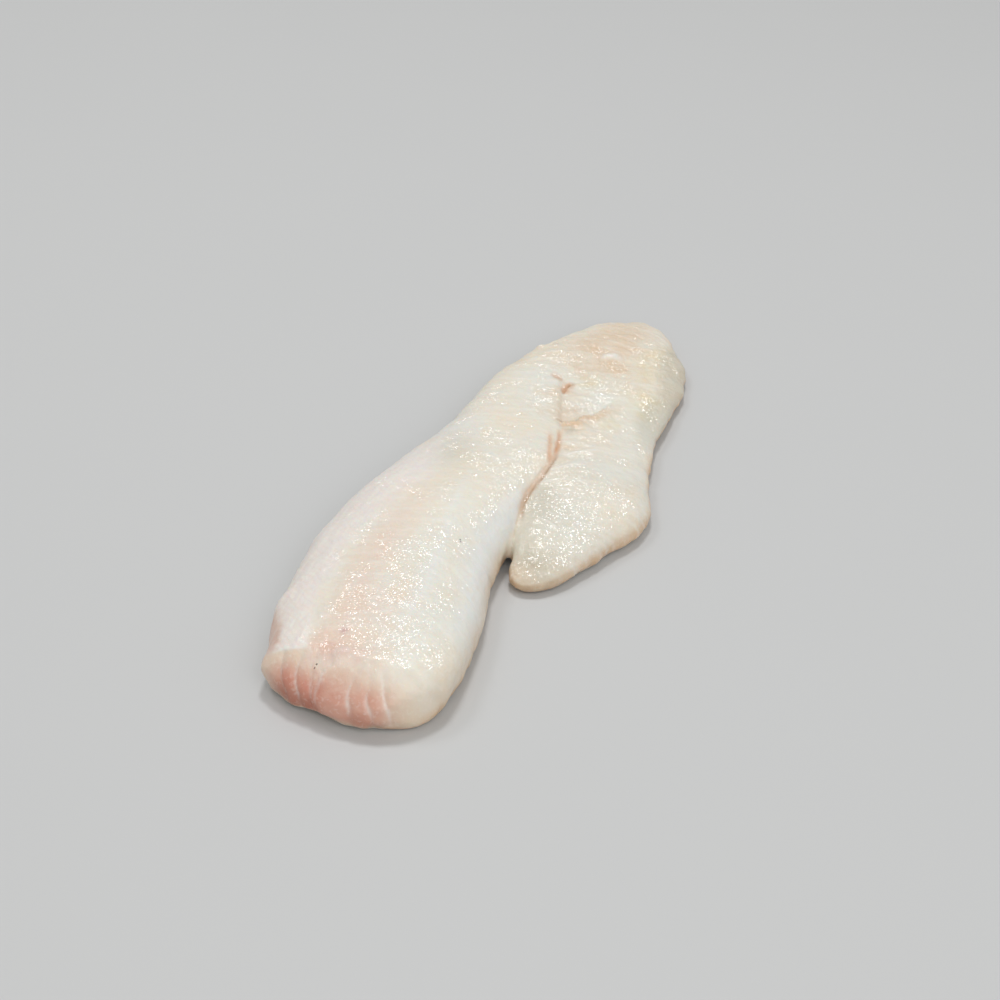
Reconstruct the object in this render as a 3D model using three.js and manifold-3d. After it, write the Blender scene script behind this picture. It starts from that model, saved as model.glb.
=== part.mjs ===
// A raw, skinned cod fillet lying flat. The thick loin has a blunt cut end, and the thinner
// belly flap beside it is parted from it by a long slit. Both run together in the tail.
// The fillet is one solid. Millimetres, +X to the tail, +Y to the loin's free side, +Z up,
// origin under the middle of the fillet's box.

import * as THREE from "three";
import { mergeVertices } from "three/addons/utils/BufferGeometryUtils.js";
import Module from "manifold-3d";

// Driving dimensions. The lobes below are given in percent of them.
const LENGTH = 303;
const WIDTH = 104.5;
const THICKNESS = 25;

// How each section's rim is shaped.
const RIM_ROLL = 6;
const RIM_ROLL_SHARE = 0.45;

// How finely the solid is faceted. Sections lie closer together at the ends.
const TOP_FACETS = 19;
const ROLL_FACETS = 4;
const BASE_FACETS = 4;
const END_CROWDING = 0.6;

// A lobe's profiles run along its length. Each point is a place in percent of LENGTH from the
// cut end, and a value there: for the two sides and the crest in percent of WIDTH from the
// fillet's middle, and for the crest's height and the rim's in percent of THICKNESS. The
// fullness of a side says how squarely its shoulder turns down to the rim.
// At each end the plan, the top and the base shrink to nothing. Each has its reach in
// millimetres and how full its rounding is: 1 for a straight slope, 2 for a quarter ellipse.
const LOIN = {
  sections: 62,
  left: [[0, 40.5], [6, 39], [14, 44.5], [23, 49], [33, 50], [44, 46], [56, 39], [66, 36],
    [76, 35], [86, 27], [100, 7.5]],
  right: [[0, -20], [7, -24.5], [14, -23], [21, -19.5], [27, -15.5], [33, -12.5], [38, -12],
    [45, -11], [51, -12], [57, -10.3], [63.5, -4.4], [70, 2], [74, 5.5], [80, 1], [88, -18],
    [95, -20], [100, -9]],
  crest: [[0, 1], [7, 6], [33, 12], [72, 18], [84, 10], [100, 0]],
  height: [[0, 76], [8, 90], [24, 100], [36, 99], [54, 84], [73, 62], [88, 49], [100, 30]],
  rim: [[0, 32], [50, 25], [85, 20], [100, 14]],
  leftFullness: [[0, 2.2], [100, 2.2]],
  rightFullness: [[0, 3.1], [30, 3.3], [44, 4.3], [66, 5], [78, 3], [100, 2.4]],
  cutEnd: { plan: [30, 2.4], top: [16, 1.45], base: [7, 2] },
  tail: { plan: [26, 2.2], top: [30, 2.2], base: [4, 2] },
};
const FLAP = {
  sections: 46,
  left: [[31.5, -14.5], [36, -13.5], [42, -5], [50, 3], [57, 8], [67, 14], [77, 19],
    [84, 17], [91, 10], [98.5, -1]],
  right: [[31.5, -30], [36, -36], [42, -43], [49.7, -50], [57, -43.5], [67, -37], [77, -35],
    [84, -34], [89.5, -28.5], [94, -20], [98.5, -13]],
  crest: [[31.5, -22], [36, -20], [42, -15], [50, -11], [57, -10], [64, -5], [70, 0],
    [77, 2], [84, -2], [98.5, -6]],
  height: [[31.5, 30], [36, 45], [42, 64], [50, 71], [57, 67], [67, 56], [78, 51],
    [89, 43], [98.5, 30]],
  rim: [[31.5, 16], [84, 18], [98.5, 12]],
  leftFullness: [[31.5, 3], [98.5, 3]],
  rightFullness: [[31.5, 2], [60, 2], [98.5, 2.2]],
  cutEnd: { plan: [17, 2.4], top: [17, 1.8], base: [5, 2] },
  tail: { plan: [24, 2.2], top: [28, 2.2], base: [4, 2] },
};

// A smooth curve through the points, as a function of the place along the length. Its slope at
// a point is the mean of the slopes on both sides, the nearer neighbour counting for more.
function profile(points) {
  const last = points.length - 1;
  const rise = (i) => (points[i + 1][1] - points[i][1]) / (points[i + 1][0] - points[i][0]);
  const slopes = points.map((point, i) => {
    if (i === 0) return rise(0);
    if (i === last) return rise(last - 1);
    const after = (points[i + 1][0] - point[0]) / (points[i + 1][0] - points[i - 1][0]);
    return after * rise(i - 1) + (1 - after) * rise(i);
  });
  return (place) => {
    let i = 0;
    while (i < last - 1 && place > points[i + 1][0]) i += 1;
    const [x0, y0] = points[i];
    const [x1, y1] = points[i + 1];
    const span = x1 - x0;
    const t = THREE.MathUtils.clamp((place - x0) / span, 0, 1);
    const start = (1 + 2 * t) * (1 - t) ** 2 * y0 + t * (1 - t) ** 2 * span * slopes[i];
    const end = t * t * (3 - 2 * t) * y1 - t * t * (1 - t) * span * slopes[i + 1];
    return start + end;
  };
}

// The height of a super-ellipse of unit size at a distance of 0 to 1 from its middle.
function arch(distance, fullness) {
  return Math.max(0, 1 - Math.min(1, distance) ** fullness) ** (1 / fullness);
}

// How far a lobe has opened out at this distance from its end: 0 at the end, 1 past its reach.
function opening(distance, [reach, fullness]) {
  return arch(Math.max(0, 1 - distance / reach), fullness);
}

// One cross-section, from the right rim: over the crest to the left rim, round
// that rim's underside, along the flat base and up round the right rim's underside.
function section(x, side, size) {
  const left = side.crest + (side.left - side.crest) * size.plan;
  const right = side.crest - (side.crest - side.right) * size.plan;
  const rise = (side.height - side.rim) * size.top;
  const drop = side.rim * size.base;
  const roll = Math.min(RIM_ROLL, RIM_ROLL_SHARE * (left - right));
  const points = [];
  for (let i = 0; i <= TOP_FACETS; i += 1) {
    const across = Math.cos((Math.PI * i) / TOP_FACETS);
    const rim = across > 0 ? right : left;
    const fullness = across > 0 ? side.rightFullness : side.leftFullness;
    const y = side.crest + (rim - side.crest) * Math.abs(across);
    points.push([x, y, side.rim + rise * arch(Math.abs(across), fullness)]);
  }
  const turn = (i) => (Math.PI / 2) * (i / ROLL_FACETS);
  for (let i = 1; i <= ROLL_FACETS; i += 1) {
    const inset = roll * (1 - Math.cos(turn(i)));
    points.push([x, left - inset, side.rim - drop * Math.sin(turn(i))]);
  }
  for (let i = 1; i < BASE_FACETS; i += 1) {
    const y = THREE.MathUtils.lerp(left - roll, right + roll, i / BASE_FACETS);
    points.push([x, y, side.rim - drop]);
  }
  for (let i = ROLL_FACETS; i >= 1; i -= 1) {
    const inset = roll * (1 - Math.cos(turn(i)));
    points.push([x, right + inset, side.rim - drop * Math.sin(turn(i))]);
  }
  return points;
}

// The lobe as a closed geometry: its sections joined side by side, and a point at each end.
function lobeGeometry(lobe) {
  const curves = {};
  const names = ["left", "right", "crest", "height", "rim", "leftFullness", "rightFullness"];
  for (const name of names) curves[name] = profile(lobe[name]);
  const first = lobe.left[0][0];
  const last = lobe.left[lobe.left.length - 1][0];
  const sideAt = (place) => ({
    left: (curves.left(place) * WIDTH) / 100,
    right: (curves.right(place) * WIDTH) / 100,
    crest: (curves.crest(place) * WIDTH) / 100,
    height: (curves.height(place) * THICKNESS) / 100,
    rim: (curves.rim(place) * THICKNESS) / 100,
    leftFullness: curves.leftFullness(place),
    rightFullness: curves.rightFullness(place),
  });
  const xAt = (place) => (place / 100 - 0.5) * LENGTH;
  const sizeAt = (place) => {
    const near = xAt(place) - xAt(first);
    const far = xAt(last) - xAt(place);
    const size = (way) => opening(near, lobe.cutEnd[way]) * opening(far, lobe.tail[way]);
    return { plan: size("plan"), top: size("top"), base: size("base") };
  };

  const positions = [];
  const faces = [];
  const count = lobe.sections;
  let ring = 0;
  for (let i = 1; i < count; i += 1) {
    const even = i / count;
    const crowded = (1 - Math.cos(Math.PI * even)) / 2;
    const share = THREE.MathUtils.lerp(even, crowded, END_CROWDING);
    const place = THREE.MathUtils.lerp(first, last, share);
    const points = section(xAt(place), sideAt(place), sizeAt(place));
    ring = points.length;
    positions.push(...points.flat());
  }
  const tips = [first, last].map((place) => {
    const side = sideAt(place);
    positions.push(xAt(place), side.crest, side.rim);
    return positions.length / 3 - 1;
  });
  for (let j = 0; j < ring; j += 1) {
    const next = (j + 1) % ring;
    const lastRing = (count - 2) * ring;
    faces.push(tips[0], j, next);
    faces.push(tips[1], lastRing + next, lastRing + j);
    for (let i = 0; i < count - 2; i += 1) {
      const here = i * ring;
      const ahead = here + ring;
      faces.push(here + j, ahead + next, here + next);
      faces.push(here + j, ahead + j, ahead + next);
    }
  }
  const geometry = new THREE.BufferGeometry();
  geometry.setAttribute("position", new THREE.Float32BufferAttribute(positions, 3));
  geometry.setIndex(faces);
  return geometry;
}

const wasm = await Module();
wasm.setup();

function toSolid(geometry) {
  const merged = mergeVertices(geometry);
  const vertProperties = new Float32Array(merged.attributes.position.array);
  const triVerts = new Uint32Array(merged.index.array);
  return new wasm.Manifold(new wasm.Mesh({ numProp: 3, vertProperties, triVerts }));
}

function toGeometry(solid) {
  const { vertProperties, triVerts } = solid.getMesh();
  const geometry = new THREE.BufferGeometry();
  geometry.setAttribute("position", new THREE.Float32BufferAttribute(vertProperties, 3));
  geometry.setIndex(new THREE.Uint32BufferAttribute(triVerts, 1));
  geometry.computeVertexNormals();
  return geometry;
}

// The curves run a little past the points they go through, so the joined solid is measured
// and moved until its box stands on the origin.
function centred(geometry) {
  geometry.computeBoundingBox();
  const { min, max } = geometry.boundingBox;
  return geometry.translate(-(min.x + max.x) / 2, -(min.y + max.y) / 2, -min.z);
}

const flesh = new THREE.MeshStandardMaterial({ color: 0xe2dcc8, roughness: 0.35, metalness: 0 });
const joined = toSolid(lobeGeometry(LOIN)).add(toSolid(lobeGeometry(FLAP)));
const fillet = new THREE.Mesh(centred(toGeometry(joined)), flesh);
fillet.name = "fillet";

const group = new THREE.Group();
group.add(fillet);

export default group;
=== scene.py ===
"""A raw, skinned cod fillet with its thick loin and belly flap, and the stage it lies on."""

import math
from types import SimpleNamespace
from typing import NamedTuple

import bpy
import numpy as np
from bpy.props import FloatProperty, FloatVectorProperty, PointerProperty
from mathutils import Matrix, Vector, noise


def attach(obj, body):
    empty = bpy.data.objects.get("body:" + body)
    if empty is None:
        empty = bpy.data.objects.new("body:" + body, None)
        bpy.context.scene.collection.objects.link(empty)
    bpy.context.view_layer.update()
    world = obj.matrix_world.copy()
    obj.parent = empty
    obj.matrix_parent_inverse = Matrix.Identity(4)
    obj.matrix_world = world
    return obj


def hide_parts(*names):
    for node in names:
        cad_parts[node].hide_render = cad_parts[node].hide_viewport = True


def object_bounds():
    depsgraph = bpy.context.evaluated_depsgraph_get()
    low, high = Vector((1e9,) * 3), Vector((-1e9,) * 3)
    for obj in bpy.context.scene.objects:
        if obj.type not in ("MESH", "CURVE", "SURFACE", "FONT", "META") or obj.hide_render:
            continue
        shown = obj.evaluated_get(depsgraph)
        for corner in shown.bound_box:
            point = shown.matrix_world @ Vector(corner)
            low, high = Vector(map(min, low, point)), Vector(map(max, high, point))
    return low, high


bl_info = {
    "name": "Cod Fillet",
    "version": (1, 0, 0),
    "blender": (4, 5, 0),
    "location": "3D View > Sidebar > Fillet",
    "description": "Makes a raw cod fillet with its cut end, slit, torn edges and wet flesh",
    "category": "Add Mesh",
}

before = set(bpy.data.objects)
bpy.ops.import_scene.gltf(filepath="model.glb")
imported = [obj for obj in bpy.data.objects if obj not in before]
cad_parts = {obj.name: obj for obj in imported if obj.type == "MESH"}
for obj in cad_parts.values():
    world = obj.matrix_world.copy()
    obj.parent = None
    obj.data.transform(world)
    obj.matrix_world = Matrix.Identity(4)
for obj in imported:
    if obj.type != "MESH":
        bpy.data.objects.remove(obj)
CAD_LOW, CAD_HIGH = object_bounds()

# The shapes below are worked out in millimetres and scaled to metres at the end. The curves
# run a little past the points they go through, so the width and the thickness that the points
# are given in percent of are a little less than the box's.
MM = 0.001
WIDTH_SHARE = 104.5 / 104.644
THICKNESS_SHARE = 25 / 25.106
LENGTH = (CAD_HIGH.x - CAD_LOW.x) / MM
WIDTH = WIDTH_SHARE * (CAD_HIGH.y - CAD_LOW.y) / MM
THICKNESS = THICKNESS_SHARE * (CAD_HIGH.z - CAD_LOW.z) / MM


# ---------------------------------------------------------------- the lobes

# How each section's rim is shaped.
RIM_ROLL = 6
RIM_ROLL_SHARE = 0.45

# A lobe's profiles run along its length. Each point is a place in percent of the length from
# the cut end, and a value there: for the two sides and the crest in percent of the width from
# the middle, and for the crest's height and the rim's in percent of the thickness. At each end
# the plan, the top and the base shrink to nothing, by a reach in millimetres and a fullness.
# The fullness of a side says how squarely its shoulder turns down to the rim.
LOIN = {
    "left": [(0, 40.5), (6, 39), (14, 44.5), (23, 49), (33, 50), (44, 46), (56, 39), (66, 36),
             (76, 35), (86, 27), (100, 7.5)],
    "right": [(0, -20), (7, -24.5), (14, -23), (21, -19.5), (27, -15.5), (33, -12.5), (38, -12),
              (45, -11), (51, -12), (57, -10.3), (63.5, -4.4), (70, 2), (74, 5.5), (80, 1),
              (88, -18), (95, -20), (100, -9)],
    "crest": [(0, 1), (7, 6), (33, 12), (72, 18), (84, 10), (100, 0)],
    "height": [(0, 76), (8, 90), (24, 100), (36, 99), (54, 84), (73, 62), (88, 49), (100, 30)],
    "rim": [(0, 32), (50, 25), (85, 20), (100, 14)],
    "left_fullness": [(0, 2.2), (100, 2.2)],
    "right_fullness": [(0, 3.1), (12, 2.8), (24, 2.1), (36, 2.2), (44, 3.6), (66, 5), (78, 3),
                       (100, 2.4)],
    "cut_end": {"plan": (30, 2.4), "top": (16, 1.45), "base": (7, 2)},
    "tail": {"plan": (26, 2.2), "top": (30, 2.2), "base": (4, 2)},
}
FLAP = {
    "left": [(31.5, -14.5), (36, -13.5), (42, -5), (50, 3), (57, 8), (67, 14), (77, 19),
             (84, 17), (91, 10), (98.5, -1)],
    "right": [(31.5, -30), (36, -36), (42, -43), (49.7, -50), (57, -43.5), (67, -37), (77, -35),
              (84, -34), (89.5, -28.5), (94, -20), (98.5, -13)],
    "crest": [(31.5, -22), (36, -20), (42, -15), (50, -11), (57, -10), (64, -5), (70, 0),
              (77, 2), (84, -2), (98.5, -6)],
    "height": [(31.5, 30), (36, 45), (42, 64), (50, 71), (57, 67), (67, 56), (78, 51),
               (89, 43), (98.5, 30)],
    "rim": [(31.5, 16), (84, 18), (98.5, 12)],
    "left_fullness": [(31.5, 3.0), (98.5, 3.0)],
    "right_fullness": [(31.5, 2), (60, 2), (98.5, 2.2)],
    "cut_end": {"plan": (17, 2.4), "top": (17, 1.8), "base": (5, 2)},
    "tail": {"plan": (24, 2.2), "top": (28, 2.2), "base": (4, 2)},
}

# How finely the lobes are faceted before they are joined.
SECTIONS = 420
TOP_FACETS = 120
ROLL_FACETS = 12
BASE_FACETS = 40

# Where the two lobes run together: from this place to that along the length, in percent, and
# above this height to that, in millimetres.
TAIL_MERGE = (74, 80)
TAIL_MERGE_HEIGHT = (3, 7)
SMOOTHING_ROUNDS = 2
MERGING_ROUNDS = 90


def profile(points, places):
    """The smooth curve through the points, at the places. Its slopes are those beside a point."""
    xs, ys = np.array(points, float).T
    rises = np.diff(ys) / np.diff(xs)
    after = (xs[2:] - xs[1:-1]) / (xs[2:] - xs[:-2])
    between = after * rises[:-1] + (1 - after) * rises[1:]
    slopes = np.concatenate([rises[:1], between, rises[-1:]])
    i = np.clip(np.searchsorted(xs, places, side="right") - 1, 0, len(xs) - 2)
    span = xs[i + 1] - xs[i]
    t = np.clip((places - xs[i]) / span, 0, 1)
    start = (1 + 2 * t) * (1 - t) ** 2 * ys[i] + t * (1 - t) ** 2 * span * slopes[i]
    end = t * t * (3 - 2 * t) * ys[i + 1] - t * t * (1 - t) * span * slopes[i + 1]
    return start + end


def arch(distance, fullness):
    """The height of a super-ellipse of unit size at a distance of 0 to 1 from its middle."""
    return np.maximum(0, 1 - np.clip(distance, 0, 1) ** fullness) ** (1 / fullness)


def x_at(place):
    """The x of a place given in percent of the length."""
    return (place / 100 - 0.5) * LENGTH


def place_at(x):
    """The place, in percent of the length, of an x in millimetres."""
    return (x / LENGTH + 0.5) * 100


def lobe_at(lobe, x):
    """A lobe's left and right rim, crest, rim height, rise and drop, all at the x's."""
    place = place_at(x)
    first, last = lobe["left"][0][0], lobe["left"][-1][0]
    sizes = {}
    for way in ("plan", "top", "base"):
        near_reach, near_fullness = lobe["cut_end"][way]
        far_reach, far_fullness = lobe["tail"][way]
        near = arch(np.maximum(0, 1 - (x - x_at(first)) / near_reach), near_fullness)
        far = arch(np.maximum(0, 1 - (x_at(last) - x) / far_reach), far_fullness)
        sizes[way] = near * far
    crest = profile(lobe["crest"], place) * WIDTH / 100
    left = profile(lobe["left"], place) * WIDTH / 100
    right = profile(lobe["right"], place) * WIDTH / 100
    height = profile(lobe["height"], place) * THICKNESS / 100
    rim = profile(lobe["rim"], place) * THICKNESS / 100
    return {
        "left": crest + (left - crest) * sizes["plan"],
        "right": crest + (right - crest) * sizes["plan"],
        "crest": crest,
        "rim": rim,
        "rise": (height - rim) * sizes["top"],
        "drop": rim * sizes["base"],
        "left_fullness": profile(lobe["left_fullness"], place),
        "right_fullness": profile(lobe["right_fullness"], place),
    }


def lobe_top(lobe, x, y):
    """The height of a lobe's upper side over points in plan, and 0 beside the lobe."""
    at = lobe_at(lobe, x)
    on_left = y > at["crest"]
    reach = np.where(on_left, at["left"] - at["crest"], at["crest"] - at["right"])
    across = np.abs(y - at["crest"]) / np.maximum(reach, 1e-6)
    fullness = np.where(on_left, at["left_fullness"], at["right_fullness"])
    first, last = lobe["left"][0][0], lobe["left"][-1][0]
    inside = (across < 1) & (x > x_at(first)) & (x < x_at(last))
    return np.where(inside, at["rim"] + at["rise"] * arch(across, fullness), 0)


def lobe_shell(lobe):
    """The lobe's vertices and faces: its sections joined side by side, and a point at each end."""
    first, last = lobe["left"][0][0], lobe["left"][-1][0]
    even = np.arange(1, SECTIONS) / SECTIONS
    crowded = (1 - np.cos(np.pi * even)) / 2
    x = x_at(first + (last - first) * crowded)
    at = lobe_at(lobe, x)
    roll = np.minimum(RIM_ROLL, RIM_ROLL_SHARE * (at["left"] - at["right"]))
    columns = []
    for angle in np.linspace(0, np.pi, TOP_FACETS + 1):
        across = math.cos(angle)
        side = "right" if across > 0 else "left"
        rim, fullness = at[side], at[side + "_fullness"]
        y = at["crest"] + (rim - at["crest"]) * abs(across)
        columns.append((y, at["rim"] + at["rise"] * arch(abs(across), fullness)))
    turns = np.linspace(0, np.pi / 2, ROLL_FACETS + 1)[1:]
    for turn in turns:
        z = at["rim"] - at["drop"] * math.sin(turn)
        columns.append((at["left"] - roll * (1 - math.cos(turn)), z))
    for share in np.arange(1, BASE_FACETS) / BASE_FACETS:
        low_left, low_right = at["left"] - roll, at["right"] + roll
        columns.append((low_left + (low_right - low_left) * share, at["rim"] - at["drop"]))
    for turn in turns[::-1]:
        z = at["rim"] - at["drop"] * math.sin(turn)
        columns.append((at["right"] + roll * (1 - math.cos(turn)), z))
    ring = len(columns)
    rows = np.stack([np.stack([x, y, z], 1) for y, z in columns], 1).reshape(-1, 3)
    ends = x_at(np.array([first, last], float))
    caps = lobe_at(lobe, ends)
    tips = np.stack([ends, caps["crest"], caps["rim"]], 1)
    points = np.concatenate([rows, tips])
    j = np.arange(ring)
    ahead = (j + 1) % ring
    here = np.arange(SECTIONS - 2)[:, None] * ring
    quads = np.stack([here + j, here + ring + j, here + ring + ahead, here + ahead], -1)
    last_ring = (SECTIONS - 2) * ring
    near_cap = np.stack([np.full(ring, len(rows)), j, ahead], 1)
    far_cap = np.stack([np.full(ring, len(rows) + 1), last_ring + ahead, last_ring + j], 1)
    return points, [*quads.reshape(-1, 4).tolist(), *near_cap.tolist(), *far_cap.tolist()]


# ---------------------------------------------------------------- mesh helpers


def mesh_from(shells, name):
    """One mesh of several closed shells, each of vertices and faces."""
    points, faces, offset = [], [], 0
    for shell_points, shell_faces in shells:
        points.append(shell_points)
        faces.extend([[offset + i for i in face] for face in shell_faces])
        offset += len(shell_points)
    mesh = bpy.data.meshes.new(name)
    mesh.from_pydata(np.concatenate(points).tolist(), [], faces)
    return mesh


def evenly_remeshed(mesh, cell):
    """The mesh's overlapping shells as one closed surface of even quads."""
    obj = bpy.data.objects.new(mesh.name, mesh)
    bpy.context.scene.collection.objects.link(obj)
    remesh = obj.modifiers.new("Even quads", "REMESH")
    remesh.mode = "VOXEL"
    remesh.voxel_size = cell
    remesh.adaptivity = 0
    depsgraph = bpy.context.evaluated_depsgraph_get()
    surface = bpy.data.meshes.new_from_object(obj.evaluated_get(depsgraph))
    bpy.data.objects.remove(obj)
    bpy.data.meshes.remove(mesh)
    return surface


def get_points(mesh):
    """The mesh's vertices as rows of x, y and z."""
    points = np.empty(len(mesh.vertices) * 3)
    mesh.vertices.foreach_get("co", points)
    return points.reshape(-1, 3)


def set_points(mesh, points):
    """Moves the mesh's vertices to these rows."""
    mesh.vertices.foreach_set("co", points.ravel())
    mesh.update()


def get_normals(mesh):
    """The mesh's vertex normals as rows."""
    normals = np.empty(len(mesh.vertices) * 3)
    mesh.vertex_normals.foreach_get("vector", normals)
    return normals.reshape(-1, 3)


def get_edges(mesh):
    """The mesh's edges as rows of two vertices."""
    edges = np.empty(len(mesh.edges) * 2, int)
    mesh.edges.foreach_get("vertices", edges)
    return edges.reshape(-1, 2)


def smoothed(values, edges, rounds, weight=1.0):
    """Rows pulled towards the mean of their neighbours, over and over, each by its weight."""
    a, b = edges.T
    count = len(values)
    neighbours = np.bincount(a, minlength=count) + np.bincount(b, minlength=count)
    pull = np.broadcast_to(weight, count)[:, None] * 0.5
    for _ in range(rounds):
        total = np.stack([
            np.bincount(a, column[b], count) + np.bincount(b, column[a], count)
            for column in values.T
        ], 1)
        values = values + pull * (total / neighbours[:, None] - values)
    return values


# ---------------------------------------------------------------- fields over the flesh


def ramp(value, low, high):
    """0 at low and 1 at high, easing between and level beyond. Low may be the larger."""
    t = np.clip((value - low) / (high - low), 0, 1)
    return t * t * (3 - 2 * t)


def bell(value, width):
    """1 where the value is 0, falling off smoothly on both sides over about the width."""
    return np.exp(-((value / width) ** 2))


def plan(points):
    """Plan points given in percent of the length and width, in millimetres."""
    rows = np.array(points, float).reshape(-1, 2)
    return np.stack([x_at(rows[:, 0]), rows[:, 1] * WIDTH / 100], 1)


class Surface:
    """The flesh's surface, and what is worked out at each of its points."""

    def __init__(self, points, normals, edges):
        self.points, self.normals, self.edges = points, normals, edges
        self.x, self.y, self.z = points.T
        self.xy = points[:, :2]

        # Where each point lies, in percent of the length, width and thickness.
        self.place = place_at(self.x)
        self.across = self.y / WIDTH * 100
        self.height = self.z / THICKNESS * 100

        # Which way it faces, and what it belongs to, as shares of 0 to 1.
        self.up = normals[:, 2]
        self.upper = ramp(self.up, -0.25, 0.25)
        self.base = ramp(self.up, -0.5, -0.9)
        loin_top, flap_top = lobe_top(LOIN, self.x, self.y), lobe_top(FLAP, self.x, self.y)
        self.on_flap = ramp(flap_top - loin_top, -0.8, 0.8)
        self.in_tail = ramp(self.place, 72, 80)

        # Along the flakes, in millimetres, and noise that shapes and colours have in common.
        bend = profile(FLAKE_BEND, self.across) * (1 - self.on_flap)
        bend += profile(FLAP_BEND, self.across) * self.on_flap
        self.flow = self.x - bend
        self.wander = self.lumps(11, 2, 1)
        self.knobs = self.lumps(3.4, 2, 6)

    def line(self, path):
        """Distance from a path in plan, how far along it the nearest place is, and the side."""
        corners = plan(path)
        steps = np.diff(corners, axis=0)
        lengths = np.linalg.norm(steps, axis=1)
        starts = np.concatenate([[0], np.cumsum(lengths)])
        best = np.full(len(self.x), np.inf)
        share, side = np.zeros(len(self.x)), np.ones(len(self.x))
        for corner, step, length, start in zip(corners, steps / lengths[:, None], lengths, starts):
            offset = self.xy - corner
            along = np.clip(offset @ step, 0, length)
            distance = np.linalg.norm(offset - along[:, None] * step, axis=1)
            nearer = distance < best
            best = np.where(nearer, distance, best)
            share = np.where(nearer, (start + along) / starts[-1], share)
            left = step[0] * offset[:, 1] - step[1] * offset[:, 0]
            side = np.where(nearer, np.where(left > 0, 1, -1), side)
        return best, share, side

    def stroke(self, path, half_width, fade=0.15):
        """A soft line along a path, 1 on it and fading towards its ends."""
        distance, share, _ = self.line(path)
        ends = ramp(share, 0, fade) * ramp(share, 1, 1 - fade)
        return bell(distance, half_width) * ends

    def spot(self, place, radius, stretch=1.0, turn=0.0):
        """A soft round spot, or an oval whose long side is turned by some degrees from x."""
        offset = self.xy - plan(place)
        cos, sin = math.cos(math.radians(turn)), math.sin(math.radians(turn))
        long = (offset[:, 0] * cos + offset[:, 1] * sin) / stretch
        short = offset[:, 1] * cos - offset[:, 0] * sin
        return bell(np.hypot(long, short), radius)

    def ball(self, place, radius):
        """A soft ball round a place in percent of the length, width and thickness."""
        centre = np.array([*plan(place[:2])[0], place[2] * THICKNESS / 100])
        return bell(np.linalg.norm(self.points - centre, axis=1), radius)

    def hollow(self, rounds, low, high):
        """How sunken each point is below its surroundings, the wider the more rounds."""
        drawn_in = smoothed(self.points, self.edges, rounds) - self.points
        return ramp(np.einsum("ij,ij->i", drawn_in, self.normals), low, high)

    def lumps(self, grain, octaves=2, seed=0):
        """Smooth noise of about -1 to 1, with lumps about as wide as the grain."""
        return self.noise_at(self.points / grain, octaves, seed)

    def fibres(self, thickness, length, octaves=2, seed=0):
        """Smooth noise drawn out along the flake walls."""
        flow = np.stack([self.flow / thickness, self.y / length, self.z / length], 1)
        return self.noise_at(flow, octaves, seed)

    @staticmethod
    def noise_at(where, octaves, seed):
        """Noise at places given in grains."""
        shift = Vector((seed * 7.3, seed * -3.1, seed * 5.7))
        return np.array([noise.fractal(Vector(p) + shift, 1, 2, octaves) for p in where.tolist()])


# Profiles across the loin and the flap of how far the flake walls lean towards the tail, in
# millimetres.
FLAKE_BEND = [(-30, -11), (-15, -5.5), (-4, -1), (3, 0), (14, -3.5), (26, -7.5), (34, -5), (48, 2)]
FLAP_BEND = [(-50, 22), (-30, 13), (-10, 3), (10, -6)]

# How far apart the flake walls lie, and the fine creases in the silver band, in millimetres.
FLAKE_SPACING = 7.4
CREASE_SPACING = 2.7

# Places on the fillet, down to the specks, are in percent of the length from the cut end and of
# the width from the middle. A path runs from its first point to its last. A profile has a value
# at each place along the length or, where it says so, across the width.

# The cut face: profiles across of its upper edge and of how pink it is, and the path of a raised
# wet patch by the arris, painted with a sheen.
ARRIS = [(-32, 4.8), (-17, 4.3), (-12, 3.9), (-6, 3.8), (1, 4.3), (7, 4.5), (10.5, 4.2),
         (13.4, 3.4), (16.4, 4.1), (20, 4.2), (23, 4.4), (29, 4.4), (35.5, 4.9)]
PINKNESS = [(-26, 0), (-14, 0.2), (-8, 0.65), (2, 0.74), (9, 0.8), (15, 1), (25, 1), (30, 0.7),
            (37, 0.45)]
ARRIS_SHEEN = [(5, 5), (5.2, 8), (4.8, 11), (4.2, 13.5)]

# The loin: a profile of the silver band's inner edge and where the band starts, the paths of
# the lateral line and of the blush beside the band, and the place of a bruise.
BAND_EDGE = [(4.6, 20.5), (9, 25), (15.3, 29), (22.3, 30), (30, 29), (36, 26), (44, 22),
             (60, 22)]
BAND_START = 4.55
LATERAL_LINE = [(7, -6.5), (8.4, -5.5), (12.7, -3.3), (21, -1.3), (24.6, 0.4), (36, 7), (46, 11)]
BLUSH = [(5, 13), (12, 16), (20.6, 19), (32, 21), (42, 21)]
BRUISE = (7.9, 12.3)

# The slit: its path and a profile of how dark its inside is painted, partly as shade, the paths
# of the torn strips, the swollen fold's lip and the crevice at its root, the place of a hole, and
# where the loin shades the flap, which is painted as shade.
SEAM = [(36.3, -13), (40.2, -13.1), (41.4, -11.6), (44.2, -10.9), (48.6, -11.9), (51.7, -12),
        (55.9, -10.8), (58, -9.4), (62.8, -4.6), (66.4, -0.9), (69.8, 2.7), (73.4, 6.7)]
SEAM_LINING = [(35, 0.1), (42, 0.35), (45, 0.95), (49, 0.7), (54, 1), (60, 0.9), (66, 1),
               (70, 1), (72, 0.5), (75, 0.1)]
TORN_STRIPS = [[(59, -4), (55.5, -7), (51, -10.9)], [(61, -5.4), (57.5, -8.4), (53.4, -10.8)]]
FOLD_LIP = [(62.6, -3.5), (63.4, -7.3), (64.4, -8.5), (65.8, -9.4), (66.6, -11.8), (69, -14),
            (72, -15.5)]
CREVICE = [(70.4, 3.4), (72.2, 3.9), (73.3, 3.4), (74.4, 1.8)]
HOLE = (74.2, 9.3)
CONTACT = [(48, -14), (43, -15), (38.5, -16), (34.5, -19.5), (32.5, -19)]
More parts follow.
